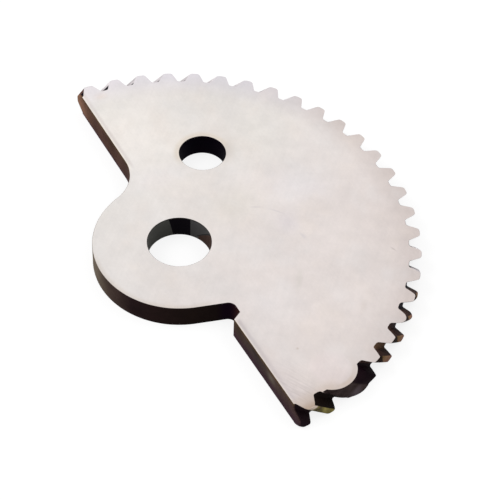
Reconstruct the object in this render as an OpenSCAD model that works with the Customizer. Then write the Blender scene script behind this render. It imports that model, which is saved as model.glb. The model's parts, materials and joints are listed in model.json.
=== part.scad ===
// Spiral sector gear: one half of a helical gear cut from flat plate, with a round hub,
// a pivot bore, a second hole and a worn double tooth near its lower end.
// The pivot axis is +Z through the origin, on the plate's lower face.
// The teeth face +X and the two straight edges run along +Y and -Y.

/* [Teeth] */
// Teeth that a full circle would hold
teeth = 52; // [44:1:64]
// Module, measured square to a tooth
normal_module = 2; // [1.7:0.05:2.4]
// Helix angle at the pitch circle, left hand
helix_angle = 45; // [20:1:48]
// Pressure angle, measured square to a tooth
pressure_angle = 20; // [18:0.5:24]
// Height of a tooth above the pitch circle
addendum = 1.65; // [1.2:0.05:1.9]
// Depth of a gap below the pitch circle
dedendum = 2.15; // [1.7:0.05:2.5]
// Bevel along the edges of a tooth's tip
tip_bevel = 0.35; // [0.15:0.05:0.5]
// Height of the round at the bottom of a gap
root_round = 0.5; // [0.2:0.05:0.7]

/* [Plate] */
// Thickness of the plate
plate_t = 7.8; // [5:0.1:11]
// Angle between the two straight edges
sector_angle = 179; // [150:0.5:180]

/* [Hub] */
// Diameter of the round hub
hub_d = 54; // [46:0.5:62]
// Diameter of the pivot bore
bore_d = 20; // [12:0.5:30]
// Radius of the fillet between the hub and the upper straight edge
fillet_r = 14; // [6:0.5:18]

/* [Second hole] */
// Diameter of the second hole
hole_d = 15; // [8:0.5:18]
// Distance from the pivot axis to the second hole
hole_distance = 39; // [34:0.5:50]
// Angle of the second hole above the middle of the teeth
hole_angle = 51.8; // [20:0.1:60]

/* [Relief at the lower edge] */
// How far the relief goes past the straight edge
relief_depth = 3; // [1.5:0.1:5]
// Width of the relief along the straight edge
relief_mouth = 7; // [5.5:0.1:10]
// Length of the relief's inner wall
relief_back = 4.4; // [3:0.1:5.5]
// Radius of the relief's corner next to the hub
relief_round = 2.6; // [0.8:0.1:2.8]
// Where the hub's side runs straight into the relief, in degrees before the edge
relief_lead = 17; // [8:1:20]

/* [Worn double tooth] */
// Whole gaps between the double tooth and the lower end
gaps_below_double = 1; // [1:1:6]
// Radius of its worn crown at the upper side
worn_top_r = 8.1; // [7.5:0.1:10]
// Radius of its worn crown at the lower side
worn_bottom_r = 8.7; // [7.5:0.1:10]
// Radius at which the worn slopes beside the crown reach the lower side
worn_slope_r = 16; // [13:0.5:24]
// How much lower than a tooth its crown is at the upper side
worn_drop = 0.2; // [0:0.05:0.5]
// How much its crown swells past a tooth at the lower side
worn_rise = 0.55; // [0.2:0.05:0.8]
// How far its crown lies above its middle at the upper side, in degrees
worn_top_lean = 0.7; // [-0.5:0.1:1]
// How far its crown lies above its middle at the lower side, in degrees
worn_bottom_lean = -0.8; // [-1.2:0.1:0.5]
// How far the worn slopes lie above its middle at the lower side, in degrees
worn_slope_lean = 0.6; // [-0.2:0.1:1]
// Height of the foot of its worn slopes above the floor of a gap
worn_foot = 0.8; // [0.3:0.05:1.2]
// Width of the ridge that is left beside it
ridge_w = 0.6; // [0.4:0.1:1.2]

/* [Rounded tooth] */
// Sharp teeth between the double tooth and the rounded one above it
sharp_teeth_between = 2; // [0:1:8]
// Height of its rounded tip
round_tip_h = 1.05; // [0.5:0.05:1.4]

/* [Hidden] */
$fn = 96;
// How far cuts run past the faces that they open
overcut = 1;
// How far a fillet's arc runs into its neighbours, so that they meet at a clear edge
blend_bite = 0.02;
// Steps along the helix, and along each flank
helix_steps = 4;
flank_steps = 3;
// Steps round a tooth's rounded tip
tip_steps = 6;

pitch_r = normal_module * teeth / cos(helix_angle) / 2;
tip_r = pitch_r + addendum;
root_r = pitch_r - dedendum;
transverse_angle = atan(tan(pressure_angle) / cos(helix_angle));
base_r = pitch_r * cos(transverse_angle);
pitch_angle = 360 / teeth;
turn_per_mm = tan(helix_angle) / pitch_r * 180 / PI;
helix_turn = turn_per_mm * plate_t;

hub_r = hub_d / 2;
half_sector = sector_angle / 2;
edge_tilt = 90 - half_sector;

// Gaps are counted from the middle of the teeth: the ends are cut through the last ones.
tip_gap = gap_half(tip_r);
first_gap = ceil((-half_sector - helix_turn - tip_gap) / pitch_angle);
last_gap = floor((half_sector + tip_gap) / pitch_angle);
double_gap = gaps_below_double - floor(half_sector / pitch_angle);
double_angle = double_gap * pitch_angle;
rounded_angle = (double_gap + 1.5 + sharp_teeth_between) * pitch_angle;

function involute(a) = tan(a) - a * PI / 180;
function roll(r) = acos(min(1, base_r / r));
function half_tooth(r) =
    90 / teeth + (involute(transverse_angle) - involute(roll(r))) * 180 / PI;
function gap_half(r) = pitch_angle / 2 - half_tooth(r);
function arc_angle(length, r) = length / r * 180 / PI;
function polar(r, a) = [r * cos(a), r * sin(a)];

// One side of a gap from its floor outward, as [radius, angle from the gap's middle]
function gap_side() = let (
    floor_half = gap_half(root_r),
    flank_from = root_r + root_round,
    flank_to = tip_r - tip_bevel,
    slope = arc_angle(tip_bevel, tip_r)
) [
    [root_r, floor_half / 2],
    [root_r + root_round / 4, (floor_half + gap_half(flank_from)) / 2],
    for (i = [0:flank_steps])
        let (r = flank_from + (flank_to - flank_from) * i / flank_steps) [r, gap_half(r)],
    [tip_r + overcut / 4, gap_half(tip_r) + slope],
    [tip_r + overcut, gap_half(tip_r) + slope],
];

// Cuts follow the helix from below the plate to above it.
module along_helix(angle) {
    cut_h = plate_t + 2 * overcut;
    translate([0, 0, -overcut])
        rotate(angle + helix_turn + turn_per_mm * overcut)
            linear_extrude(
                height = cut_h, twist = turn_per_mm * cut_h, slices = helix_steps, segments = 1
            )
                children();
}

module tooth_gap(index) {
    side = gap_side();
    count = len(side);
    along_helix(index * pitch_angle)
        polygon([
            for (p = side) polar(p[0], p[1]),
            for (i = [1:count]) polar(side[count - i][0], -side[count - i][1]),
        ]);
}

// The tooth whose tip is worn to a rounded crown
module round_tip_cut() {
    crown_r = tip_r - blend_bite;
    half = half_tooth(tip_r - round_tip_h) + arc_angle(blend_bite, tip_r);
    along_helix(rounded_angle)
        polygon([
            for (i = [-tip_steps:tip_steps])
                let (share = i / tip_steps) polar(crown_r - round_tip_h * pow(share, 2), half * share),
            polar(tip_r + overcut, half),
            polar(tip_r + overcut, -half),
        ]);
}

// The two teeth of the double tooth, up to the gaps on both sides
module double_tooth_zone() {
    floor_r = root_r + worn_foot;
    outer_r = tip_r + 2 * overcut;
    upper = pitch_angle;
    lower = -pitch_angle / 2 - half_tooth(root_r) + arc_angle(ridge_w, root_r);
    steps = 6;
    along_helix(double_angle)
        polygon([
            for (i = [0:steps]) polar(floor_r, lower + (upper - lower) * i / steps),
            for (i = [0:steps]) polar(outer_r, upper + (lower - upper) * i / steps),
        ]);
}

// A form that leans from a round at the plate's lower side to one at its upper side
module worn_form(bottom_r, bottom_lean, top_r, past) {
    top_crown = tip_r - worn_drop;
    bottom_crown = tip_r + worn_rise;
    hull() {
        translate([0, 0, -past])
            rotate(double_angle + helix_turn + bottom_lean)
                translate([bottom_crown - bottom_r, 0])
                    cylinder(r = bottom_r, h = past + blend_bite);
        translate([0, 0, plate_t - blend_bite])
            rotate(double_angle + worn_top_lean)
                translate([top_crown - worn_top_r, 0])
                    cylinder(r = top_r, h = past + blend_bite);
    }
}

// The slopes that are worn into the double tooth's upper side
module worn_cut() {
    difference() {
        double_tooth_zone();
        worn_form(worn_slope_r, worn_slope_lean, worn_top_r, overcut);
    }
}

// The crown that fills the gap of the double tooth and swells past the teeth
module worn_crown() {
    difference() {
        worn_form(worn_bottom_r, worn_bottom_lean, worn_top_r - blend_bite, 0);
        translate([0, 0, -overcut])
            cylinder(r = root_r - overcut, h = plate_t + 2 * overcut);
    }
}

// The round fillet on the hub's upper side, against the straight edge
module hub_fillet() {
    aside = fillet_r - blend_bite;
    reach = sqrt(pow(hub_r + aside, 2) - pow(aside, 2));
    rotate(-edge_tilt)
        difference() {
            polygon([[0, 0], [overcut, 0], [overcut, reach], [-aside, reach]]);
            translate([-aside, reach])
                circle(r = fillet_r);
        }
}

// The hub's lower side runs off along a tangent until it meets the relief's inner wall.
function lead_start() = hub_r * [-sin(relief_lead), -cos(relief_lead)];
function lead_point(x) =
    [x, lead_start()[1] - (x - lead_start()[0]) * tan(relief_lead)];

module hub_lead() {
    rotate(edge_tilt)
        polygon([[0, 0], lead_start(), lead_point(overcut), [overcut, 0]]);
}

module relief() {
    corner = lead_point(relief_depth);
    trim = relief_round / tan((90 + relief_lead) / 2);
    mouth_end = [0, lead_point(0)[1] - relief_mouth];
    back_end = [relief_depth, corner[1] - relief_back];
    outward = (mouth_end - back_end) / relief_depth;
    rotate(edge_tilt) {
        polygon([
            lead_start(),
            corner - trim * [cos(relief_lead), -sin(relief_lead)],
            corner - [0, trim],
            back_end,
            mouth_end + relief_depth * outward,
            [lead_start()[0], mouth_end[1]],
        ]);
        translate(corner - [relief_round, trim])
            circle(r = relief_round);
    }
}

module plate_outline() {
    far = 2 * tip_r;
    difference() {
        union() {
            intersection() {
                circle(r = tip_r);
                polygon([[0, 0], polar(far, -half_sector), [far, -far], [far, far], polar(far, half_sector)]);
            }
            circle(r = hub_r);
            hub_fillet();
            hub_lead();
        }
        relief();
    }
}

module through_bore(d) {
    translate([0, 0, -overcut])
        cylinder(d = d, h = plate_t + 2 * overcut);
}

module sector_gear() {
    color("#e3dbd8") {
        difference() {
            linear_extrude(height = plate_t)
                plate_outline();
            through_bore(bore_d);
            translate(polar(hole_distance, hole_angle))
                through_bore(hole_d);
            for (i = [first_gap:last_gap])
                if (i != double_gap) tooth_gap(i);
            round_tip_cut();
            worn_cut();
        }
        worn_crown();
    }
}

sector_gear();
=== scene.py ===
"""Looks of the spiral sector gear: ground upper face, dark edges, worn teeth and a plain studio.

The mesh and the material work in millimetres and degrees. The mesh is scaled to metres when it is
made, and the material reads the part's own coordinates times a thousand.
"""

import json
import math
from functools import partial

import bpy
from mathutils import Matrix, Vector, noise
from mathutils.geometry import tessellate_polygon


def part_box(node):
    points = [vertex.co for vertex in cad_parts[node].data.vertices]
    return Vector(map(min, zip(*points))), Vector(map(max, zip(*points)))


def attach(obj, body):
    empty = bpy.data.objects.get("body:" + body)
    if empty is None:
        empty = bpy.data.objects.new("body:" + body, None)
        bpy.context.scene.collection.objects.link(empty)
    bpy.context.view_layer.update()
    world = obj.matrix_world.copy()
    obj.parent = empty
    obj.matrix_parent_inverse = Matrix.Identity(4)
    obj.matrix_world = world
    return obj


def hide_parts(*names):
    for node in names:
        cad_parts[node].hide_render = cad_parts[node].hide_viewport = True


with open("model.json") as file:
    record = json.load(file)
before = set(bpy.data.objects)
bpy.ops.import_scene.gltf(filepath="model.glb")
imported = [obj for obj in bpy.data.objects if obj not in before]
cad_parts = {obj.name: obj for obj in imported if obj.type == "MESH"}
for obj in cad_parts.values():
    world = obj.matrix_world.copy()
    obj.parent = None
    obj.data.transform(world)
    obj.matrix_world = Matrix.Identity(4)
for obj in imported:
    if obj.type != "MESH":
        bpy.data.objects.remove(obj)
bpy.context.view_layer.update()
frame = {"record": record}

MM = 0.001
record = frame["record"]
mounts = {mount["name"]: mount for mount in record["mounts"]}
gear_low, gear_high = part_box("sector_gear")

# Plate, hub and holes
PLATE_T = gear_high.z / MM
HUB_R = -gear_low.x / MM
BORE_R = mounts["pivot_bore"]["dims"]["r_mm"]
HOLE_R = mounts["second_hole"]["dims"]["r_mm"]
HOLE_X = mounts["second_hole"]["pos_m"][0] / MM
HOLE_Y = mounts["second_hole"]["pos_m"][1] / MM
HALF_SECTOR = 89.5
EDGE_TILT = 90 - HALF_SECTOR
FILLET_R = 14.0

# Relief at the lower straight edge
RELIEF_DEPTH = 3.0
RELIEF_MOUTH = 7.0
RELIEF_BACK = 4.4
RELIEF_ROUND = 2.6
RELIEF_LEAD = 17.0

# Teeth
TEETH = 52
NORMAL_MODULE = 2.0
HELIX_ANGLE = 45.0
PRESSURE_ANGLE = 20.0
ADDENDUM = 1.65
DEDENDUM = 2.15
TIP_ROUND = 0.35
ROOT_ROUND = 0.5

PITCH_R = NORMAL_MODULE * TEETH / math.cos(math.radians(HELIX_ANGLE)) / 2
TIP_R = PITCH_R + ADDENDUM
ROOT_R = PITCH_R - DEDENDUM
PITCH_ANGLE = 360 / TEETH
HELIX_TURN = math.degrees(PLATE_T * math.tan(math.radians(HELIX_ANGLE)) / PITCH_R)
TRANSVERSE_ANGLE = math.atan(math.tan(math.radians(PRESSURE_ANGLE)) / math.cos(math.radians(HELIX_ANGLE)))
BASE_R = PITCH_R * math.cos(TRANSVERSE_ANGLE)

# Worn double tooth, which fills one gap near the lower end: the gap's number and angle, how far the
# wear reaches to both sides, and the form of its crown and slopes
DOUBLE_GAP = -11
DOUBLE_ANGLE = DOUBLE_GAP * PITCH_ANGLE
DOUBLE_REACH = 1.1 * PITCH_ANGLE
WORN_TOP_R = 8.1
WORN_BOTTOM_R = 8.7
WORN_SLOPE_R = 16.0
WORN_DROP = 0.2
WORN_RISE = 0.55
WORN_TOP_LEAN = 0.7
WORN_BOTTOM_LEAN = -0.8
WORN_SLOPE_LEAN = 0.6
WORN_FOOT = 0.8
RIDGE_W = 0.6

# How far down a tip is worn and how flat it stays, for most teeth and for single ones.
# A tooth's number is its middle in pitches, counted from the middle of the teeth.
TIP_WEAR = (0.6, 4.0)
TIP_WEAR_AT = {-7.5: (1.05, 2.0), -8.5: (0.35, 8.0), -9.5: (0.35, 8.0), -12.5: (0.6, 3.0)}

# Softened edges: mean width, how much it varies, and how often along the part
EDGE_ROUND = 0.12
EDGE_VARIATION = 0.35
EDGE_VARIATION_PER_MM = 0.35

# Fineness of the mesh
FLANK_STEPS = 6
ROUND_STEPS = 4
LAND_STEPS = 8
DOUBLE_STEP = 0.15
EDGE_STEP = 1.5
ARC_STEP = 2.0
BORE_POINTS = 128
WALL_LEVELS = 12
EDGE_STEPS = 3
MITER_LIMIT = 2.0
WELD = 0.0005
SHARP_ANGLE = math.radians(32)

# Studio
FLOOR_SIZE = 6.0
FLOOR_GAP = 0.02 * MM
FLOOR_TONE = 0.26
FLOOR_LIFT = 0.82
FLOOR_ROUGHNESS = 0.9
WORLD_LEVEL = 0.62
WHITE = (1, 1, 1, 1)
# Softboxes: name, place, size and power
SOFTBOXES = [
    ("softbox_left", (-0.75, 0.35, 0.9), 0.7, 4.5),
    ("softbox_right", (0.7, -0.2, 0.8), 0.6, 1.5),
]

# Camera, fitted to the outline in the photo
CAMERA_PLACE = (-0.19841, -0.38721, 0.49748)
CAMERA_TURN = (41.412, -1.370, -28.474)
CAMERA_LENS = 152.08
CAMERA_SENSOR = 36.0
CAMERA_CLIP = (0.01, 20.0)

# Walls get about half of the light that the face gets. The face's tones are raised a little, because
# it mirrors the surroundings but not the softboxes.
WALL_LIGHT = 0.55
FACE_LIGHT = 1.07


def colour(red, green, blue):
    """A colour given as screen values from 0 to 255, made linear by the standard screen curve."""
    def linear(value):
        share = value / 255
        return share / 12.92 if share <= 0.04045 else ((share + 0.055) / 1.055) ** 2.4

    return (linear(red), linear(green), linear(blue), 1.0)


def shaded(red, green, blue):
    """The colour of a wall that should look like this in the light that walls get."""
    return tuple(min(1.0, value / WALL_LIGHT) for value in colour(red, green, blue)[:3]) + (1.0,)


# Tones of the face from its lower right to its upper left, over a range of y less a share of x. They hold
# the face's own tone and a painted highlight that grows towards the upper left
FACE_TONES = [colour(219, 210, 207), colour(222, 214, 211), colour(223, 218, 215), colour(222, 218, 213)]
FACE_SPAN = (-80, 60)
FACE_SLANT = 0.5
# Places on the face that differ: centre, radii, turn, share and tone. Most are stains, and the two bright
# ones at the upper left are a painted highlight
FACE_STAINS_AND_HIGHLIGHT = [
    ((8, 44), (26, 34), -12, 0.78, colour(237, 231, 226)),
    ((24, 62), (28, 14), -22, 0.5, colour(232, 226, 223)),
    ((6, 27), (14, 8), 0, 0.5, colour(227, 223, 224)),
    ((13, -36), (15, 16), 0, 0.6, colour(227, 221, 220)),
    ((62, -18), (18, 30), 0, 0.4, colour(214, 203, 199)),
    ((22, 6), (14, 11), 20, 0.4, colour(215, 208, 197)),
    ((44, 4), (20, 12), -35, 0.5, colour(227, 222, 224)),
    ((44, 30), (22, 18), 40, 0.4, colour(230, 226, 219)),
    ((31, 28), (5, 9), -40, 0.6, colour(210, 201, 192)),
    ((6.3, 69), (3.5, 2.5), 0, 0.8, colour(225, 212, 200)),
]
# Rubbed strokes, scratches and a speck, in the same form
FACE_MARKS = [
    ((34, -8), (6, 8), -20, 0.35, colour(214, 207, 213)),
    ((25.5, -30.5), (6, 1.5), 53, 0.4, colour(205, 200, 193)),
    ((37.6, -48.6), (4.5, 1.4), 49, 0.45, colour(205, 195, 190)),
    ((28.3, 1.9), (3.4, 0.5), -28, 0.4, colour(200, 192, 194)),
    ((33, -2.4), (4.2, 0.5), -52, 0.45, colour(200, 194, 196)),
    ((35.4, -15.3), (2.4, 0.9), -77, 0.4, colour(202, 196, 202)),
    ((57.6, -33), (1.7, 0.35), -71, 0.7, colour(180, 169, 166)),
    ((11.8, -53.8), (0.7, 0.7), 0, 0.5, colour(190, 176, 160)),
]
# Tint of the face towards the teeth, from the middle of the teeth to the upper end
RIM_TINTS = [colour(203, 192, 188), colour(208, 203, 209), colour(220, 216, 223), colour(232, 225, 230)]
RIM_TINT_ANGLES = (20, 88)
RIM_TINT_RADII = (ROOT_R - 8, TIP_R)
# Warm and cool clouds, then clouds and polishing marks in light and dark: turn, feature sizes and depth
HUE_TURN = 75
HUE_LENGTHS = (16, 12, 40)
HUE_DEPTH = 0.18
WARM_FROM = (0.5, 0.68)
WARM_CLOUD = colour(229, 217, 208)
COOL_TO = (0.32, 0.5)
COOL_CLOUD = colour(220, 219, 220)
FACE_CLOUDS = [
    (30, (22, 15, 40), 0.22),
    (-35, (6, 4, 40), 0.15),
    (48, (9, 1.3, 40), 0.09),
    (90, (7, 0.8, 40), 0.07),
    (20, (0.9, 0.7, 40), 0.06),
]

# Lines along the straight edges of the face: where the edges start in y, then distances from the edge. The
# bright line right at the edge is a painted highlight
UPPER_EDGE_Y = (33, 38)
LOWER_EDGE_Y = (-37, -35)
EDGE_HIGHLIGHT_LINE = (0.25, 0.5)
DULL_LINE = (1.05, 1.0)
DULL_STRIP = (1.5, 3.0)
EDGE_HIGHLIGHT = colour(240, 230, 216)
UPPER_DULL = colour(213, 205, 201)
LOWER_DULL = colour(197, 188, 188)
STRIP_DULL = colour(208, 201, 200)
# The face's lower end is duller, and its polishing marks run in from the straight edge
LOWER_END_Y = (-60, -44)
LOWER_END_WIDTH = (2.0, 9.0)
LOWER_END_TONE = colour(203, 192, 191)
POLISH_TURN = 117
POLISH_LENGTHS = (5, 0.5, 40)
POLISH_DEPTH = 0.38
POLISH_Y = (-70, -50)
POLISH_WIDTH = (4, 14)
# Brown rims: along the hub, round the double tooth, at the last teeth and above the second hole
HUB_RIM_RADII = (HUB_R - 2.0, HUB_R - 0.2)
HUB_RIM_X = (-6, 0)
HUB_RIM_Y = (2, 10)
HUB_RIM = colour(200, 188, 176)
WORN_FACE_RADII = (4.5, 7.5)
WORN_FACE = colour(223, 212, 210)
WORN_RIM_RADII = (6.0, 7.0)
WORN_RIM_ANGLES = (-75, 8.0)
WORN_RIM_START = (ROOT_R - 5, ROOT_R - 2)
LAST_RIM_RADII = (ROOT_R - 3, ROOT_R + 1)
LAST_RIM_ANGLES = (-80, -76)
TOOTH_RIM = colour(200, 185, 174)
LAST_TIP_RADII = (ROOT_R + 0.5, TIP_R - 0.3)
LAST_TIP_ANGLES = (-83, -81)
LAST_TIP = colour(172, 150, 130)
HOLE_RING = (HOLE_R + 0.6, 2.0)
HOLE_RING_Y = (HOLE_Y - 3, HOLE_Y + 3)
HOLE_RING_TONE = colour(213, 200, 181)

# Range of the noise over which mottled tones run from dark to light
MOTTLE = (0.3, 0.7)
WALL_PATCHES = (8, 9, 7)
WALL_PATCH_DEPTH = 1.5
# The hub's wall, from its left side to the relief: dark steel with a painted reflection, light at the left
# and fading towards the relief
HUB_REFLECTION_TONES = [
    shaded(97, 87, 75), shaded(61, 49, 44), shaded(33, 21, 22),
    shaded(29, 19, 18), shaded(22, 14, 12), shaded(15, 8, 7),
]
HUB_ANGLES = (-10, 90)
# The two straight walls: where they start, their tones, an olive line along their top, painted shade along
# their foot, and a lighter patch
WALL_AT_EDGE = (0.3, 0.6)
UPPER_WALL_Y = (24, 30)
UPPER_WALL_SPAN = (34, TIP_R)
UPPER_WALL_TONES = [shaded(67, 49, 45), shaded(64, 45, 38), shaded(68, 48, 41), shaded(122, 90, 73)]
LOWER_WALL_Y = (-35.5, -34.5)
LOWER_WALL_SPAN = (-TIP_R, -36)
LOWER_WALL_TONES = [shaded(56, 40, 40), shaded(60, 47, 43), shaded(51, 42, 41), shaded(58, 45, 38)]
WALL_TOP_Z = (PLATE_T - 1.6, PLATE_T - 0.5)
WALL_TOP = shaded(72, 56, 38)
UPPER_FOOT_Z = (0.2, 1.8)
UPPER_FOOT_SHADE = shaded(62, 40, 56)
LOWER_FOOT_Z = (0.8, 5.0)
LOWER_FOOT_SHADE = shaded(48, 30, 40)
LIGHT_WALL_PATCH_Y = (-58, 3.5)
LIGHT_WALL_PATCH_Z = (5.0, 2.5)
LIGHT_WALL_PATCH = shaded(94, 86, 76)
# The relief's wall, from its mouth to its rounded corner
RELIEF_TOP_Y = (-27.5, -26.5)
RELIEF_BOTTOM_Y = (-35.2, -34.6)
RELIEF_LEFT_X = (-2.0, 1.0)
RELIEF_RIGHT_X = (2 * RELIEF_DEPTH, 3 * RELIEF_DEPTH)
RELIEF_SPAN = (-34, -29)
RELIEF_TONES = [shaded(42, 20, 16), shaded(10, 1, 10)]
# The second hole, and the bore with a painted reflection in grey and black stretches, and a brown stretch
IN_HOLE = (HOLE_R + 0.5, HOLE_R + 1.5)
HOLE_TONES = [shaded(1, 0, 4), shaded(6, 1, 8)]
IN_BORE = (BORE_R + 0.5, BORE_R + 1.5)
REFLECTION_LEFT_ANGLE = 73.5
REFLECTION_LEFT_LEAN = 9 / PLATE_T
REFLECTION_LEFT_BLUR = (-0.6, 0.6)
REFLECTION_RIGHT_ANGLES = (41.9, 43.1)
BORE_DARK_REFLECTION = shaded(11, 8, 12)
BORE_LIGHT_REFLECTION_LEFT = shaded(69, 69, 66)
BORE_LIGHT_REFLECTION_RIGHT = shaded(66, 65, 65)
BROWN_ANGLE = 25.0
BROWN_HEIGHT = 1.6
BROWN_CLIMB = 0.162
BROWN_BLUR = (-0.1, 0.1)
BROWN_UPPER_END = (25, 27)
BROWN_LOWER_END = (-60, -50)
BORE_BROWN = shaded(60, 46, 41)
BORE_LINE_BAND = (0.3, 0.35)
BORE_LINE_UPPER_END = (27, 30)
BORE_LINE_LOWER_END = (-30, -20)
BORE_LINE = shaded(20, 18, 18)
BORE_RIM_Z = (PLATE_T - 0.5, PLATE_T - 0.2)
BORE_RIM = shaded(18, 15, 12)

# Teeth: where they begin, how far a surface has to face up to take a painted reflection, and where that
# reflection begins
TEETH_FROM = (ROOT_R - 1.0, ROOT_R - 0.4)
TOOTH_PATCHES = (3, 3, 3)
FACING_UP = (0.1, 0.4)
FLANK_REFLECTION_FROM = (-44, -34)
WORKED_FROM = (-44, 6)
UPPER_END = (86.0, 87.2)
DARK_FLANKS = [shaded(24, 11, 13), shaded(54, 38, 32)]
WORKED_STEEL = [shaded(112, 102, 98), shaded(158, 152, 152)]
# A painted reflection of the white surroundings on flanks that face up
FLANK_REFLECTION = shaded(184, 178, 180)
UPPER_END_FLANK = shaded(84, 62, 57)
# Grime and painted shade in the gap roots: its height with a ragged border, where it lies lower, and where
# it is left out
GRIME_AND_SHADE_RADII = (ROOT_R + 0.7, ROOT_R + 1.5)
GRIME_AND_SHADE_RAGGED = 0.8
GRIME_AND_SHADE_LOWER_ANGLES = (74, 86)
GRIME_AND_SHADE_LOWER = 1.4
GRIME_AND_SHADE_CLEAN_FROM = (18, 30)
GRIME_AND_SHADE_CLEAN_TO = (50, 70)
GRIME_AND_SHADE_TURNED_AWAY = (0.0, 0.5)
BROWN_GRIME_AND_SHADE_ANGLES = (-58, -46)
GRIME_AND_SHADE = shaded(12, 8, 16)
BROWN_GRIME_AND_SHADE = shaded(48, 33, 29)
LIGHT_GAP = (-9 * PITCH_ANGLE, PITCH_ANGLE / 2)
LIGHT_GRIME_AND_SHADE = shaded(92, 70, 54)
BLACK_FROM = ((DOUBLE_GAP - 0.5) * PITCH_ANGLE, (DOUBLE_GAP - 0.48) * PITCH_ANGLE)
BLACK_FLANK = shaded(15, 9, 7)
LAST_FLANK_ANGLES = (-86.5, -85.5)
LAST_FLANK = shaded(26, 16, 20)
# Tooth tips: tones from the lower face to the upper one, and a wedge of painted shade along the upper edge
TIP_RADII = (TIP_R - 0.42, TIP_R - 0.25)
TIP_TONES = [
    shaded(104, 73, 66), shaded(120, 89, 72), shaded(108, 84, 62), shaded(84, 65, 42), shaded(40, 26, 16),
]
TIP_RAGGED = 5.0
TIP_WEDGE_ACROSS = (2.0, 4.8)
TIP_WEDGE_H = 3.4
TIP_WEDGE_TOP = PLATE_T - 0.9
TIP_WEDGE_BLUR = 0.7
TIP_WEDGE_SHADE = shaded(20, 10, 6)
# A painted reflection of the white surroundings on tips that face up
TIP_REFLECTION = shaded(178, 172, 174)
# The tip below the double tooth is olive with a dark band and a painted highlight along its upper edge, and
# the last one is dark
OLIVE_ANGLES = (-84, -83)
OLIVE_MOTTLE = (0.35, 0.65)
OLIVE_TONES = [shaded(56, 48, 28), shaded(132, 122, 72)]
OLIVE_BAND_Z = (PLATE_T - 2.4, 1.0)
OLIVE_BAND = shaded(60, 49, 46)
PALE_EDGE_Z = (PLATE_T - 1.5, PLATE_T - 0.9)
PALE_EDGE_HIGHLIGHT = shaded(190, 174, 160)
DARK_TIP_ANGLES = (-90.5, -89.5)
DARK_TIP = shaded(24, 14, 20)
# The double tooth's upper slope, its crown with a painted sheen, and a painted highlight on the crown near
# the lower face
DOUBLE_BAND = (DOUBLE_ANGLE + 0.5, PITCH_ANGLE * 0.98)
DOUBLE_BLUR = (0.0, 0.02)
DOUBLE_TONES = [shaded(8, 1, 5), shaded(20, 9, 13)]
CROWN_ANGLES = (-75.3, -74.5)
CROWN_SHEEN_TONES = [shaded(36, 27, 26), shaded(58, 48, 47)]
GLOSS_ANGLES = (-73.2, 2.4)
GLOSS_Z = (2.0, 5.0)
GLOSS_HIGHLIGHT = shaded(76, 66, 70)

# Finish: what counts as level, then roughness with smears, and bumps: marks on the face, pits elsewhere
LEVEL = (0.9, 0.985)
FACE_ROUGHNESS = 0.4
WALL_ROUGHNESS = 0.62
SMEAR_TURN = 20
SMEAR_LENGTHS = (9, 5, 9)
SMEAR_DEPTH = 0.12
SPECULAR = 0.02
MARK_TURN = 90
MARK_LENGTHS = (6, 0.8, 40)
MARK_DEPTH = 0.4
PIT_LENGTHS = (0.5, 0.5, 0.9)
BUMP_STRENGTH = 0.25
BUMP_HEIGHT = 0.02 * MM

# Sockets of the mix node for each type of value: both inputs and the result
MIX_SOCKETS = {"FLOAT": (2, 3, 0), "RGBA": (6, 7, 2)}


def polar(radius, degrees):
    turn = math.radians(degrees)
    return Vector((radius * math.cos(turn), radius * math.sin(turn)))


def turned(point, degrees):
    return polar(point.length, math.degrees(math.atan2(point.y, point.x)) + degrees)


def between(first, last, steps):
    """Evenly spaced values from first to last, both included."""
    return [first + (last - first) * step / steps for step in range(steps + 1)]


def bend(start, corner, end, steps):
    """Points of a curve from start to end that leaves and arrives along the sides of a corner."""
    return [
        start * (1 - share) ** 2 + corner * 2 * share * (1 - share) + end * share ** 2
        for share in between(0, 1, steps)
    ]


def involute(angle):
    return math.tan(angle) - angle


def half_tooth(radius):
    """Half of a tooth's width at a radius, in degrees."""
    roll = math.acos(min(1, BASE_R / radius))
    return 90 / TEETH + math.degrees(involute(TRANSVERSE_ANGLE) - involute(roll))


def gap_half(radius):
    return PITCH_ANGLE / 2 - half_tooth(radius)


def gap_side():
    """One side of a gap from its middle outward, as pairs of angle and radius."""
    floor = Vector((gap_half(ROOT_R), ROOT_R))
    flank_from = ROOT_R + ROOT_ROUND
    flank_to = TIP_R - TIP_ROUND
    flank = [Vector((gap_half(radius), radius)) for radius in between(flank_from, flank_to, FLANK_STEPS)]
    tip = Vector((gap_half(TIP_R), TIP_R))
    land = tip + Vector((math.degrees(TIP_ROUND / 2 / TIP_R), 0))
    foot = bend(Vector((floor.x / 2, ROOT_R)), floor, flank[0], ROUND_STEPS)
    return [Vector((0, ROOT_R)), *foot[:-1], *flank, *bend(flank[-1], tip, land, ROUND_STEPS)[1:]]


GAP_SIDE = gap_side()
RIDGE_TURN = -PITCH_ANGLE / 2 - half_tooth(ROOT_R) + math.degrees(RIDGE_W / ROOT_R)


def gap_radius(offset):
    """Radius of a gap's wall at an angle from the gap's middle."""
    for inner, outer in zip(GAP_SIDE, GAP_SIDE[1:]):
        if offset <= outer.x:
            return inner.y + (outer.y - inner.y) * (offset - inner.x) / (outer.x - inner.x)
    return TIP_R


def worn_top():
    """Centre of the double tooth's round at the upper face."""
    return polar(TIP_R - WORN_DROP - WORN_TOP_R, DOUBLE_ANGLE + WORN_TOP_LEAN)


def worn_radius(angle, sink, bottom_r, bottom_lean):
    """Radius of a form that leans from a round at the upper side to one at the lower side."""
    lower = polar(TIP_R + WORN_RISE - bottom_r, DOUBLE_ANGLE + HELIX_TURN + bottom_lean)
    centre = worn_top().lerp(lower, sink)
    radius = WORN_TOP_R + (bottom_r - WORN_TOP_R) * sink
    along = polar(1, angle).dot(centre)
    inside = radius ** 2 - centre.length_squared + along ** 2
    return along + math.sqrt(inside) if inside > 0 else 0


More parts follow.
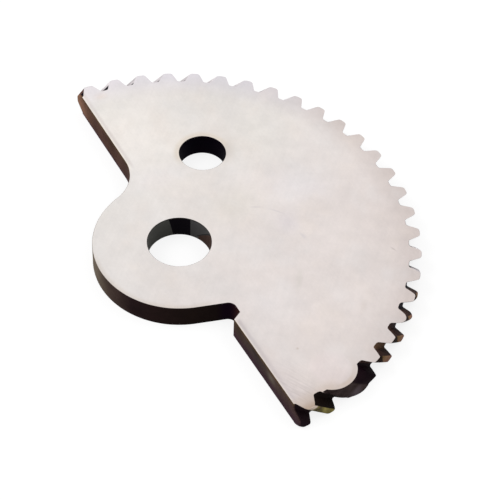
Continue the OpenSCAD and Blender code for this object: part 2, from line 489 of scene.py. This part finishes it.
def crown_radius(turn):
    """Radius of a tooth's worn tip. Beside the tip it sets no limit."""
    tooth = math.floor(turn / PITCH_ANGLE) + 0.5
    drop, flatness = TIP_WEAR_AT.get(tooth, TIP_WEAR)
    share = abs(turn - tooth * PITCH_ANGLE) / half_tooth(TIP_R - drop)
    return TIP_R - drop * share ** flatness if share < 1 else math.inf


def rim_radius(angle, sink):
    """Radius of the toothed rim. Sink is 0 at the upper face and 1 at the lower one."""
    turn = angle - HELIX_TURN * sink
    gap = round(turn / PITCH_ANGLE)
    radius = gap_radius(abs(turn - gap * PITCH_ANGLE)) if gap != DOUBLE_GAP else TIP_R
    from_double = turn - DOUBLE_ANGLE
    if abs(from_double) > DOUBLE_REACH:
        return min(radius, crown_radius(turn))
    if from_double > RIDGE_TURN:
        slope = worn_radius(angle, sink, WORN_SLOPE_R, WORN_SLOPE_LEAN)
        radius = min(radius, max(slope, ROOT_R + WORN_FOOT))
    return max(radius, worn_radius(angle, sink, WORN_BOTTOM_R, WORN_BOTTOM_LEAN))


def rim_turns():
    """Angles along the teeth, on the upper face, at which the rim has points."""
    first = math.ceil((-HALF_SECTOR - HELIX_TURN) / PITCH_ANGLE) - 1
    last = math.floor(HALF_SECTOR / PITCH_ANGLE) + 1
    turns = []
    land_from = GAP_SIDE[-1].x
    for gap in range(first, last + 1):
        middle = gap * PITCH_ANGLE
        turns += [middle - point.x for point in reversed(GAP_SIDE[1:])]
        turns += [middle + point.x for point in GAP_SIDE]
        turns += [middle + turn for turn in between(land_from, PITCH_ANGLE - land_from, LAND_STEPS)[1:-1]]
    steps = round(2 * DOUBLE_REACH / DOUBLE_STEP)
    turns += [DOUBLE_ANGLE + turn for turn in between(-DOUBLE_REACH, DOUBLE_REACH, steps)]
    turns += [DOUBLE_ANGLE + RIDGE_TURN - WELD, DOUBLE_ANGLE + RIDGE_TURN + WELD]
    return sorted(turns)


RIM_TURNS = rim_turns()


def rim(sink):
    """The toothed rim from the lower straight edge to the upper one."""
    points = []
    for turn in RIM_TURNS:
        angle = max(-HALF_SECTOR, min(HALF_SECTOR, turn + HELIX_TURN * sink))
        points.append(polar(rim_radius(angle, sink), angle))
    return points


def line(start, end):
    """Points of a straight stretch without its two ends."""
    steps = max(1, round((end - start).length / EDGE_STEP))
    return [start.lerp(end, step / steps) for step in range(1, steps)]


def arc(centre, radius, first, last):
    steps = max(2, round(abs(last - first) / ARC_STEP))
    return [centre + polar(radius, angle) for angle in between(first, last, steps)]


def straight_side():
    """The outline from the upper straight edge round the hub and the relief to the lower edge."""
    outer = ROOT_R - EDGE_STEP / 2
    reach = math.sqrt((HUB_R + FILLET_R) ** 2 - FILLET_R ** 2)
    fillet_centre = Vector((-FILLET_R, reach))
    hub_from = math.degrees(math.atan2(reach, -FILLET_R))
    upper = [*line(Vector((0, outer)), Vector((0, reach))), *arc(fillet_centre, FILLET_R, 0, hub_from - 180)]
    lead_start = polar(HUB_R, 270 - RELIEF_LEAD)
    slope = math.tan(math.radians(RELIEF_LEAD))
    corner = Vector((RELIEF_DEPTH, lead_start.y - (RELIEF_DEPTH - lead_start.x) * slope))
    trim = RELIEF_ROUND / math.tan(math.radians((90 + RELIEF_LEAD) / 2))
    round_centre = corner - Vector((RELIEF_ROUND, trim))
    bend_points = arc(round_centre, RELIEF_ROUND, 90 - RELIEF_LEAD, 0)
    back_end = corner - Vector((0, RELIEF_BACK))
    mouth_end = Vector((0, lead_start.y + lead_start.x * slope - RELIEF_MOUTH))
    lower = [
        *line(lead_start, bend_points[0]), *bend_points,
        *line(bend_points[-1], back_end), back_end,
        *line(back_end, mouth_end), mouth_end,
        *line(mouth_end, Vector((0, -outer))),
    ]
    hub = arc(Vector((0, 0)), HUB_R, hub_from - EDGE_TILT, 270 - RELIEF_LEAD + EDGE_TILT)
    return [turned(p, -EDGE_TILT) for p in upper[:-1]] + hub + [turned(p, EDGE_TILT) for p in lower]


SIDE = straight_side()


def plate_outline(sink):
    return rim(sink) + SIDE


def hole_outline(centre, radius, _sink):
    """A hole's edge, the same at every depth, clockwise, so that the plate is on its left."""
    return [centre + polar(radius, -360 * step / BORE_POINTS) for step in range(BORE_POINTS)]


def neighbour(points, index, step):
    """The next point, in one direction, that isn't at the same place."""
    here = points[index]
    for away in range(1, len(points)):
        there = points[(index + step * away) % len(points)]
        if (there - here).length > WELD:
            return there
    return here


def inward(points):
    """For each point, how it moves when the outline is set back into the plate by one unit."""
    moves = []
    for index, here in enumerate(points):
        before = (here - neighbour(points, index, -1)).normalized()
        after = (neighbour(points, index, 1) - here).normalized()
        first = Vector((-before.y, before.x))
        second = Vector((-after.y, after.x))
        moves.append((first + second) / max(1 + first.dot(second), 1 / MITER_LIMIT))
    return moves


def edge_width(point):
    """Width of the softened edge, which varies along the part."""
    wander = noise.noise(Vector((point.x, point.y, 0)) * EDGE_VARIATION_PER_MM)
    return EDGE_ROUND * (1 + EDGE_VARIATION * wander)


def edge_ring(outline, rounding, upper):
    """One ring of a softened edge. Rounding is 0 at the wall and a right angle at the face."""
    from_face = EDGE_ROUND * (1 - math.sin(rounding))
    height = PLATE_T - from_face if upper else from_face
    points = outline(1 - height / PLATE_T)
    ring = []
    for point, move in zip(points, inward(points)):
        width = edge_width(point)
        place = point + move * width * (1 - math.cos(rounding))
        drop = width * (1 - math.sin(rounding))
        ring.append(Vector((place.x, place.y, PLATE_T - drop if upper else drop)))
    return ring


def wall_ring(outline, height):
    return [Vector((point.x, point.y, height)) for point in outline(1 - height / PLATE_T)]


def wall_levels(outline):
    """Rings of points from the lower face to the upper one along the plate's wall."""
    quarter = [math.radians(angle) for angle in between(0, 90, EDGE_STEPS)]
    heights = between(EDGE_ROUND, PLATE_T - EDGE_ROUND, WALL_LEVELS)[1:-1]
    lower = [edge_ring(outline, rounding, upper=False) for rounding in reversed(quarter)]
    middle = [wall_ring(outline, height) for height in heights]
    upper = [edge_ring(outline, rounding, upper=True) for rounding in quarter]
    return lower + middle + upper


class Skin:
    """Points and faces of one mesh, in millimetres."""

    def __init__(self):
        self.points = []
        self.walls = []
        self.caps = []

    def ring(self, points):
        """Adds a ring of points. Points at the same place share one number."""
        numbers = []
        for point in points:
            if numbers and (point - self.points[numbers[-1]]).length < WELD:
                numbers.append(numbers[-1])
                continue
            numbers.append(len(self.points))
            self.points.append(point)
        return numbers

    def strip(self, below, above):
        for index in range(len(below)):
            corners = [below[index - 1], below[index], above[index], above[index - 1]]
            distinct = list(dict.fromkeys(corners))
            if len(distinct) > 2:
                self.walls.append(distinct)

    def wall(self, outline):
        """Adds a wall through the plate with softened edges. Gives its lowest and highest ring."""
        rings = [self.ring(level) for level in wall_levels(outline)]
        for below, above in zip(rings, rings[1:]):
            self.strip(below, above)
        return rings[0], rings[-1]

    def cap(self, rings, up):
        """Closes the plate's upper or lower face between its outline and the holes."""
        loops = [[self.points[number] for number in dict.fromkeys(ring)] for ring in rings]
        numbers = [number for ring in rings for number in dict.fromkeys(ring)]
        for triangle in tessellate_polygon(loops):
            corners = [numbers[index] for index in triangle]
            a, b, c = (self.points[number] for number in corners)
            if ((b - a).cross(c - a).z > 0) != up:
                corners.reverse()
            self.caps.append(corners)


class Nodes:
    """The nodes of one material, or of the surroundings, built by short calls."""

    def __init__(self, owner):
        owner.use_nodes = True
        self.tree = owner.node_tree

    def feed(self, socket, value):
        """Links a socket to another one, or sets its number, vector or colour."""
        if isinstance(value, bpy.types.NodeSocket):
            self.tree.links.new(value, socket)
        else:
            socket.default_value = value

    def node(self, kind, **settings):
        made = self.tree.nodes.new(kind)
        for name, value in settings.items():
            setattr(made, name, value)
        return made

    def math(self, operation, *values):
        made = self.node("ShaderNodeMath", operation=operation)
        for socket, value in zip(made.inputs, values):
            self.feed(socket, value)
        return made.outputs[0]

    def add(self, first, second):
        return self.math("ADD", first, second)

    def take(self, first, second):
        return self.math("SUBTRACT", first, second)

    def most(self, first, second):
        return self.math("MAXIMUM", first, second)

    def times(self, first, *others):
        for other in others:
            first = self.math("MULTIPLY", first, other)
        return first

    def rise(self, value, low, high):
        """0 up to low, 1 from high on, with a smooth rise between."""
        made = self.node("ShaderNodeMapRange", interpolation_type="SMOOTHSTEP")
        self.feed(made.inputs["Value"], value)
        made.inputs["From Min"].default_value = low
        made.inputs["From Max"].default_value = high
        return made.outputs["Result"]

    def fall(self, value, low, high):
        return self.take(1.0, self.rise(value, low, high))

    def band(self, value, middle, half):
        """1 at the middle, 0 from half on to both sides."""
        return self.fall(self.math("ABSOLUTE", self.take(value, middle)), 0.0, half)

    def swing(self, pattern, depth):
        """A noise pattern around zero, times a depth."""
        return self.times(self.take(pattern, 0.5), depth)

    def mixed(self, kind, share, first, second):
        made = self.node("ShaderNodeMix", data_type=kind)
        low, high, result = MIX_SOCKETS[kind]
        self.feed(made.inputs["Factor"], share)
        self.feed(made.inputs[low], first)
        self.feed(made.inputs[high], second)
        return made.outputs[result]

    def mix(self, share, first, second):
        """A colour between two colours."""
        return self.mixed("RGBA", share, first, second)

    def blend(self, share, first, second):
        """A number between two numbers."""
        return self.mixed("FLOAT", share, first, second)

    def lay(self, under, over, *masks, share):
        """One colour laid over another where all the masks hold, and there by a share."""
        return self.mix(self.times(*masks, share), under, over)

    def scale(self, vector, factor):
        made = self.node("ShaderNodeVectorMath", operation="SCALE")
        self.feed(made.inputs[0], vector)
        self.feed(made.inputs["Scale"], factor)
        return made.outputs[0]

    def length(self, vector):
        made = self.node("ShaderNodeVectorMath", operation="LENGTH")
        self.feed(made.inputs[0], vector)
        return made.outputs["Value"]

    def parts(self, vector):
        made = self.node("ShaderNodeSeparateXYZ")
        self.feed(made.inputs[0], vector)
        return made.outputs

    def ramp(self, value, low, high, *colours):
        """Colours spread evenly over a range of values."""
        made = self.node("ShaderNodeValToRGB")
        self.feed(made.inputs["Fac"], self.math("DIVIDE", self.take(value, low), high - low))
        stops = made.color_ramp.elements
        stops[0].color = colours[0]
        stops[1].color = colours[-1]
        for index, tone in enumerate(colours[1:-1], start=1):
            stops.new(index / (len(colours) - 1)).color = tone
        return made.outputs["Color"]

    def local(self, place, centre=(0, 0, 0), turn=0.0, lengths=(1, 1, 1)):
        """Coordinates from a centre, turned, with these lengths as units."""
        made = self.node("ShaderNodeMapping", vector_type="TEXTURE")
        self.feed(made.inputs["Vector"], place)
        made.inputs["Location"].default_value = centre
        made.inputs["Rotation"].default_value = (0, 0, math.radians(turn))
        made.inputs["Scale"].default_value = lengths
        return made.outputs[0]

    def spot(self, place, centre, radii, turn):
        """A soft oval on the upper face: 1 in its middle, 0 from its border on and at the lower face."""
        inside = self.local(place, (*centre, PLATE_T), turn, (*radii, PLATE_T))
        return self.fall(self.length(inside), 0.0, 1.0)

    def noise(self, place, turn, lengths, detail=2.0, rough=0.5):
        """Noise from 0 to 1 whose features have about these lengths in millimetres."""
        made = self.node("ShaderNodeTexNoise")
        self.feed(made.inputs["Vector"], self.local(place, turn=turn, lengths=lengths))
        made.inputs["Scale"].default_value = 1.0
        made.inputs["Detail"].default_value = detail
        made.inputs["Roughness"].default_value = rough
        return made.outputs[0]


class Place:
    """Where a shading point is on the part, in millimetres and degrees."""

    def __init__(self, s):
        source = s.node("ShaderNodeTexCoord")
        self.point = s.scale(source.outputs["Object"], 1 / MM)
        self.x, self.y, self.z = s.parts(self.point)
        self.up = s.parts(source.outputs["Normal"])[2]
        self.radius = self.distance(s, 0, 0)
        self.from_hole = self.distance(s, HOLE_X, HOLE_Y)
        self.angle = s.times(s.math("ARCTAN2", self.y, self.x), math.degrees(1))
        opposite = s.math("ARCTAN2", s.times(self.y, -1.0), s.times(self.x, -1.0))
        self.hub_angle = s.times(opposite, math.degrees(1))
        sunk = s.take(1.0, s.math("DIVIDE", self.z, PLATE_T))
        self.tooth_angle = s.take(self.angle, s.times(sunk, HELIX_TURN))
        lean = math.tan(math.radians(EDGE_TILT))
        self.from_edge = s.take(self.x, s.times(s.math("ABSOLUTE", self.y), lean))

    def distance(self, s, x, y):
        away_x = s.take(self.x, x)
        away_y = s.take(self.y, y)
        return s.math("SQRT", s.add(s.times(away_x, away_x), s.times(away_y, away_y)))


def face_colour(s, at):
    """Ground steel, nearly white, with soft stains, scratches, browned and dulled borders, and painted
    highlights towards the upper left and along the straight edges.
    """
    across = s.take(at.y, s.times(at.x, FACE_SLANT))
    tone = s.ramp(across, *FACE_SPAN, *FACE_TONES)
    for centre, radii, turn, share, patch_tone in FACE_STAINS_AND_HIGHLIGHT + FACE_MARKS:
        tone = s.lay(tone, patch_tone, s.spot(at.point, centre, radii, turn), share=share)
    tint = s.ramp(at.angle, *RIM_TINT_ANGLES, *RIM_TINTS)
    tone = s.lay(tone, tint, s.rise(at.radius, *RIM_TINT_RADII), share=0.8)
    tone = straight_edges(s, at, tone)
    tone = lower_end(s, at, tone)
    tone = brown_rims(s, at, tone)
    return clouded(s, at, tone)


def straight_edges(s, at, tone):
    """A painted highlight line and a dull line along each straight edge, and a dull strip along the lower
    edge.
    """
    upper = s.rise(at.y, *UPPER_EDGE_Y)
    lower = s.fall(at.y, *LOWER_EDGE_Y)
    tone = s.lay(tone, STRIP_DULL, lower, s.fall(at.from_edge, *DULL_STRIP), share=0.4)
    for edge, dull in ((upper, UPPER_DULL), (lower, LOWER_DULL)):
        tone = s.lay(tone, dull, edge, s.band(at.from_edge, *DULL_LINE), share=0.75)
        tone = s.lay(tone, EDGE_HIGHLIGHT, edge, s.fall(at.from_edge, *EDGE_HIGHLIGHT_LINE), share=0.5)
    return tone


def lower_end(s, at, tone):
    """The duller lower end, where polishing marks run in from the straight edge."""
    where = s.times(s.fall(at.y, *LOWER_END_Y), s.fall(at.from_edge, *LOWER_END_WIDTH))
    tone = s.lay(tone, LOWER_END_TONE, where, share=0.35)
    polished = s.times(s.fall(at.y, *POLISH_Y), s.fall(at.from_edge, *POLISH_WIDTH))
    marks = s.swing(s.noise(at.point, POLISH_TURN, POLISH_LENGTHS), POLISH_DEPTH)
    return s.scale(tone, s.add(1.0, s.times(marks, polished)))


def brown_rims(s, at, tone):
    """Browned rims of the face at the hub, the double tooth, the last teeth and the second hole."""
    hub_side = s.times(s.fall(at.x, *HUB_RIM_X), s.fall(at.y, *HUB_RIM_Y))
    tone = s.lay(tone, HUB_RIM, s.rise(at.radius, *HUB_RIM_RADII), hub_side, share=0.45)
    worn = worn_top()
    from_worn = at.distance(s, worn.x, worn.y)
    tone = s.lay(tone, WORN_FACE, s.fall(from_worn, *WORN_FACE_RADII), share=0.7)
    worn_rim = s.times(s.rise(from_worn, *WORN_RIM_RADII), s.band(at.angle, *WORN_RIM_ANGLES))
    worn_rim = s.times(worn_rim, s.rise(at.radius, *WORN_RIM_START))
    last_rim = s.times(s.rise(at.radius, *LAST_RIM_RADII), s.fall(at.angle, *LAST_RIM_ANGLES))
    tone = s.lay(tone, TOOTH_RIM, s.most(worn_rim, last_rim), share=0.7)
    last_tip = s.times(s.rise(at.radius, *LAST_TIP_RADII), s.fall(at.angle, *LAST_TIP_ANGLES))
    tone = s.lay(tone, LAST_TIP, last_tip, share=0.7)
    ring = s.times(s.band(at.from_hole, *HOLE_RING), s.rise(at.y, *HOLE_RING_Y))
    return s.lay(tone, HOLE_RING_TONE, ring, share=0.5)


def clouded(s, at, tone):
    """Warm and cool clouds, and light and dark ones down to the marks of polishing."""
    hue = s.noise(at.point, HUE_TURN, HUE_LENGTHS, detail=3.0)
    tone = s.lay(tone, WARM_CLOUD, s.rise(hue, *WARM_FROM), share=HUE_DEPTH)
    tone = s.lay(tone, COOL_CLOUD, s.fall(hue, *COOL_TO), share=HUE_DEPTH)
    light = FACE_LIGHT
    for turn, lengths, depth in FACE_CLOUDS:
        cloud = s.noise(at.point, turn, lengths, detail=4.0, rough=0.6)
        light = s.add(light, s.swing(cloud, depth))
    return s.scale(tone, light)


def wall_colour(s, at):
    """Dark, oil-browned walls. Each stretch of the outline has its own tone, and the hub and the bore carry
    painted reflections.
    """
    patches = s.noise(at.point, 0, WALL_PATCHES, detail=4.0, rough=0.6)
    tone = s.ramp(at.hub_angle, *HUB_ANGLES, *HUB_REFLECTION_TONES)
    tone = s.mix(s.rise(at.radius, *TEETH_FROM), tone, tooth_colour(s, at))
    tone = straight_walls(s, at, tone)
    tone = s.scale(tone, s.add(1.0, s.swing(patches, WALL_PATCH_DEPTH)))
    in_hole = s.fall(at.from_hole, *IN_HOLE)
    tone = s.mix(in_hole, tone, s.ramp(patches, *MOTTLE, *HOLE_TONES))
    return s.mix(s.fall(at.radius, *IN_BORE), tone, bore_colour(s, at))


def straight_walls(s, at, tone):
    """The two straight walls and the relief, with an olive top line, painted shade along their feet and a
    lighter patch.
    """
    at_edge = s.fall(at.from_edge, *WALL_AT_EDGE)
    upper = s.times(s.rise(at.y, *UPPER_WALL_Y), at_edge)
    lower = s.times(s.fall(at.y, *LOWER_WALL_Y), at_edge)
    tone = s.mix(upper, tone, s.ramp(at.y, *UPPER_WALL_SPAN, *UPPER_WALL_TONES))
    tone = s.mix(lower, tone, s.ramp(at.y, *LOWER_WALL_SPAN, *LOWER_WALL_TONES))
    relief = s.times(s.fall(at.y, *RELIEF_TOP_Y), s.rise(at.y, *RELIEF_BOTTOM_Y))
    relief = s.times(relief, s.rise(at.x, *RELIEF_LEFT_X), s.fall(at.x, *RELIEF_RIGHT_X))
    tone = s.mix(relief, tone, s.ramp(at.y, *RELIEF_SPAN, *RELIEF_TONES))
    tone = s.lay(tone, WALL_TOP, s.most(upper, lower), s.rise(at.z, *WALL_TOP_Z), share=0.7)
    tone = s.lay(tone, UPPER_FOOT_SHADE, upper, s.fall(at.z, *UPPER_FOOT_Z), share=0.6)
    tone = s.lay(tone, LOWER_FOOT_SHADE, lower, s.fall(at.z, *LOWER_FOOT_Z), share=0.8)
    light_patch = s.times(s.band(at.y, *LIGHT_WALL_PATCH_Y), s.band(at.z, *LIGHT_WALL_PATCH_Z))
    return s.lay(tone, LIGHT_WALL_PATCH, lower, light_patch, share=0.6)


def bore_colour(s, at):
    """A painted reflection in the bore, grey at both sides and black between, and brown at one foot."""
    light_reflection_from = s.add(REFLECTION_LEFT_ANGLE, s.times(at.z, REFLECTION_LEFT_LEAN))
    tone = s.mix(s.rise(s.take(at.angle, light_reflection_from), *REFLECTION_LEFT_BLUR), BORE_DARK_REFLECTION, BORE_LIGHT_REFLECTION_LEFT)
    tone = s.mix(s.fall(at.angle, *REFLECTION_RIGHT_ANGLES), tone, BORE_LIGHT_REFLECTION_RIGHT)
    brown_to = s.add(BROWN_HEIGHT, s.times(s.take(BROWN_ANGLE, at.angle), BROWN_CLIMB))
    above_brown = s.take(at.z, brown_to)
    browned = s.times(s.fall(at.angle, *BROWN_UPPER_END), s.rise(at.angle, *BROWN_LOWER_END))
    tone = s.mix(s.times(s.fall(above_brown, *BROWN_BLUR), browned), tone, BORE_BROWN)
    lined = s.times(s.fall(at.angle, *BORE_LINE_UPPER_END), s.rise(at.angle, *BORE_LINE_LOWER_END))
    tone = s.mix(s.times(s.band(above_brown, *BORE_LINE_BAND), lined), tone, BORE_LINE)
    return s.lay(tone, BORE_RIM, s.rise(at.z, *BORE_RIM_Z), share=0.7)


def tooth_colour(s, at):
    """Flanks that run from dark to worked steel towards the upper end, with a painted reflection where they
    face up. Grime and painted shade in the gaps, and worn tips.
    """
    patches = s.noise(at.point, 0, TOOTH_PATCHES, detail=3.0)
    shown = s.rise(at.up, *FACING_UP)
    reflecting = s.times(s.rise(at.tooth_angle, *FLANK_REFLECTION_FROM), s.fall(at.angle, *UPPER_END))
    worked_and_reflecting = s.blend(shown, s.rise(at.angle, *WORKED_FROM), reflecting)
    worked = s.ramp(patches, *MOTTLE, *WORKED_STEEL)
    dark = s.ramp(patches, *MOTTLE, *DARK_FLANKS)
    flank = s.mix(worked_and_reflecting, dark, s.mix(shown, worked, FLANK_REFLECTION))
    flank = s.mix(s.rise(at.angle, *UPPER_END), flank, UPPER_END_FLANK)
    flank = grimed_and_shaded(s, at, flank, patches, shown)
    tip = s.mix(worked_and_reflecting, tip_colour(s, at, patches), s.mix(shown, worked, TIP_REFLECTION))
    tone = s.mix(s.rise(at.radius, *TIP_RADII), flank, tip)
    double = s.rise(s.band(at.tooth_angle, *DOUBLE_BAND), *DOUBLE_BLUR)
    return s.mix(double, tone, double_tooth_colour(s, at, patches))


def grimed_and_shaded(s, at, flank, patches, shown):
    """Grime and painted shade in the gap roots, apart from a clean stretch, and black flanks below the
    double tooth.
    """
    lower = s.times(s.rise(at.angle, *GRIME_AND_SHADE_LOWER_ANGLES), GRIME_AND_SHADE_LOWER)
    depth = s.take(s.add(at.radius, s.times(patches, GRIME_AND_SHADE_RAGGED)), lower)
    soiled_and_shaded = s.most(s.fall(at.angle, *GRIME_AND_SHADE_CLEAN_FROM), s.rise(at.angle, *GRIME_AND_SHADE_CLEAN_TO))
    soiled_and_shaded = s.most(soiled_and_shaded, s.fall(shown, *GRIME_AND_SHADE_TURNED_AWAY))
    grime_and_shade = s.mix(s.rise(at.angle, *BROWN_GRIME_AND_SHADE_ANGLES), BROWN_GRIME_AND_SHADE, GRIME_AND_SHADE)
    grime_and_shade = s.mix(s.band(at.tooth_angle, *LIGHT_GAP), grime_and_shade, LIGHT_GRIME_AND_SHADE)
    flank = s.mix(s.times(s.fall(depth, *GRIME_AND_SHADE_RADII), soiled_and_shaded), flank, grime_and_shade)
    black = s.mix(s.fall(at.tooth_angle, *LAST_FLANK_ANGLES), BLACK_FLANK, LAST_FLANK)
    return s.mix(s.fall(at.tooth_angle, *BLACK_FROM), flank, black)


def tip_colour(s, at, patches):
    """Tan tips with a wedge of painted shade along the upper edge, an olive one with a painted highlight at
    its upper edge, and a dark one at the lower end.
    """
    across = s.math("FLOORED_MODULO", at.tooth_angle, PITCH_ANGLE)
    wedge_from = s.take(TIP_WEDGE_TOP, s.times(s.fall(across, *TIP_WEDGE_ACROSS), TIP_WEDGE_H))
    wedge = s.rise(s.take(at.z, wedge_from), -TIP_WEDGE_BLUR, 0.0)
    height = s.add(at.z, s.swing(patches, TIP_RAGGED))
    tone = s.mix(wedge, s.ramp(height, 0, PLATE_T, *TIP_TONES), TIP_WEDGE_SHADE)
    olive = s.ramp(patches, *OLIVE_MOTTLE, *OLIVE_TONES)
    olive = s.lay(olive, OLIVE_BAND, s.band(at.z, *OLIVE_BAND_Z), share=0.8)
    olive = s.mix(s.rise(at.z, *PALE_EDGE_Z), olive, PALE_EDGE_HIGHLIGHT)
    tone = s.mix(s.fall(at.tooth_angle, *OLIVE_ANGLES), tone, olive)
    return s.mix(s.fall(at.tooth_angle, *DARK_TIP_ANGLES), tone, DARK_TIP)


def double_tooth_colour(s, at, patches):
    """Black on its upper slope, and a painted grey sheen on its crown with a painted highlight near the
    lower face.
    """
    tone = s.ramp(patches, *MOTTLE, *DOUBLE_TONES)
    crown = s.ramp(patches, *MOTTLE, *CROWN_SHEEN_TONES)
    gloss_highlight = s.times(s.band(at.angle, *GLOSS_ANGLES), s.fall(at.z, *GLOSS_Z))
    crown = s.mix(gloss_highlight, crown, GLOSS_HIGHLIGHT)
    return s.mix(s.fall(at.tooth_angle, *CROWN_ANGLES), tone, crown)


def gear_steel():
    """Steel: metal on the level faces, and darkened elsewhere, where it takes no shine."""
    material = bpy.data.materials.new("gear_steel")
    s = Nodes(material)
    surface = s.tree.nodes["Principled BSDF"]
    at = Place(s)
    level = s.rise(s.math("ABSOLUTE", at.up), *LEVEL)
    s.feed(surface.inputs["Base Color"], s.mix(level, wall_colour(s, at), face_colour(s, at)))
    s.feed(surface.inputs["Metallic"], level)
    smear = s.times(s.noise(at.point, SMEAR_TURN, SMEAR_LENGTHS, detail=4.0, rough=0.6), SMEAR_DEPTH)
    s.feed(surface.inputs["Roughness"], s.add(s.blend(level, WALL_ROUGHNESS, FACE_ROUGHNESS), smear))
    surface.inputs["Specular IOR Level"].default_value = SPECULAR
    marks = s.times(s.noise(at.point, MARK_TURN, MARK_LENGTHS, detail=4.0), MARK_DEPTH)
    pits = s.noise(at.point, 0, PIT_LENGTHS, detail=3.0)
    bump = s.node("ShaderNodeBump")
    bump.inputs["Strength"].default_value = BUMP_STRENGTH
    bump.inputs["Distance"].default_value = BUMP_HEIGHT
    s.feed(bump.inputs["Height"], s.blend(level, pits, marks))
    s.feed(surface.inputs["Normal"], bump.outputs[0])
    return material


def gear_plate():
    """The plate with softened edges, whole teeth, the worn double tooth and the two holes."""
    skin = Skin()
    bore = partial(hole_outline, Vector((0, 0)), BORE_R)
    second_hole = partial(hole_outline, Vector((HOLE_X, HOLE_Y)), HOLE_R)
    ends = [skin.wall(outline) for outline in (plate_outline, bore, second_hole)]
    skin.cap([low for low, high in ends], up=False)
    skin.cap([high for low, high in ends], up=True)
    mesh = bpy.data.meshes.new("gear_plate")
    mesh.from_pydata([point * MM for point in skin.points], [], skin.walls + skin.caps)
    mesh.validate()
    mesh.set_sharp_from_angle(angle=SHARP_ANGLE)
    for face in mesh.polygons:
        face.use_smooth = face.index < len(skin.walls)
    mesh.materials.append(gear_steel())
    plate = bpy.data.objects.new("gear_plate", mesh)
    bpy.context.scene.collection.objects.link(plate)
    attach(plate, "root")
    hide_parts("sector_gear")


def white_in_view(s):
    """1 for rays from the camera, a glossy surface or glass, so that they all see white."""
    rays = s.node("ShaderNodeLightPath").outputs
    return s.most(s.most(rays["Is Camera Ray"], rays["Is Glossy Ray"]), rays["Is Transmission Ray"])


def studio_floor():
    """A pale floor. Its own light makes it white where no shadow falls."""
    material = bpy.data.materials.new("studio_floor")
    s = Nodes(material)
    surface = s.tree.nodes["Principled BSDF"]
    surface.inputs["Base Color"].default_value = (FLOOR_TONE, FLOOR_TONE, FLOOR_TONE, 1)
    surface.inputs["Roughness"].default_value = FLOOR_ROUGHNESS
    surface.inputs["Specular IOR Level"].default_value = 0.0
    surface.inputs["Emission Color"].default_value = WHITE
    s.feed(surface.inputs["Emission Strength"], s.times(white_in_view(s), FLOOR_LIFT))
    mesh = bpy.data.meshes.new("floor")
    half = FLOOR_SIZE / 2
    corners = [(-half, -half, 0), (half, -half, 0), (half, half, 0), (-half, half, 0)]
    mesh.from_pydata(corners, [], [(0, 1, 2, 3)])
    mesh.materials.append(material)
    floor = bpy.data.objects.new("floor", mesh)
    floor.location.z = gear_low.z - FLOOR_GAP
    bpy.context.scene.collection.objects.link(floor)


def studio_light():
    """White surroundings and two softboxes, which the bright steel doesn't mirror, so it doesn't clip."""
    world = bpy.data.worlds.new("studio")
    bpy.context.scene.world = world
    s = Nodes(world)
    background = s.tree.nodes["Background"]
    background.inputs["Color"].default_value = WHITE
    s.feed(background.inputs["Strength"], s.blend(white_in_view(s), WORLD_LEVEL, 1.0))
    for name, place, size, power in SOFTBOXES:
        lamp = bpy.data.lights.new(name, "AREA")
        lamp.shape = "SQUARE"
        lamp.size = size
        lamp.energy = power
        box = bpy.data.objects.new(name, lamp)
        box.location = place
        box.visible_glossy = False
        box.rotation_euler = (-box.location).to_track_quat("-Z", "Y").to_euler()
        bpy.context.scene.collection.objects.link(box)


def photo_camera():
    data = bpy.data.cameras.new("camera")
    data.sensor_fit = "HORIZONTAL"
    data.sensor_width = CAMERA_SENSOR
    data.lens = CAMERA_LENS
    data.clip_start, data.clip_end = CAMERA_CLIP
    camera = bpy.data.objects.new("camera", data)
    camera.location = CAMERA_PLACE
    camera.rotation_euler = [math.radians(turn) for turn in CAMERA_TURN]
    bpy.context.scene.collection.objects.link(camera)
    bpy.context.scene.camera = camera


bpy.context.scene.view_settings.view_transform = "Standard"
photo_camera()
gear_plate()
studio_floor()
studio_light()
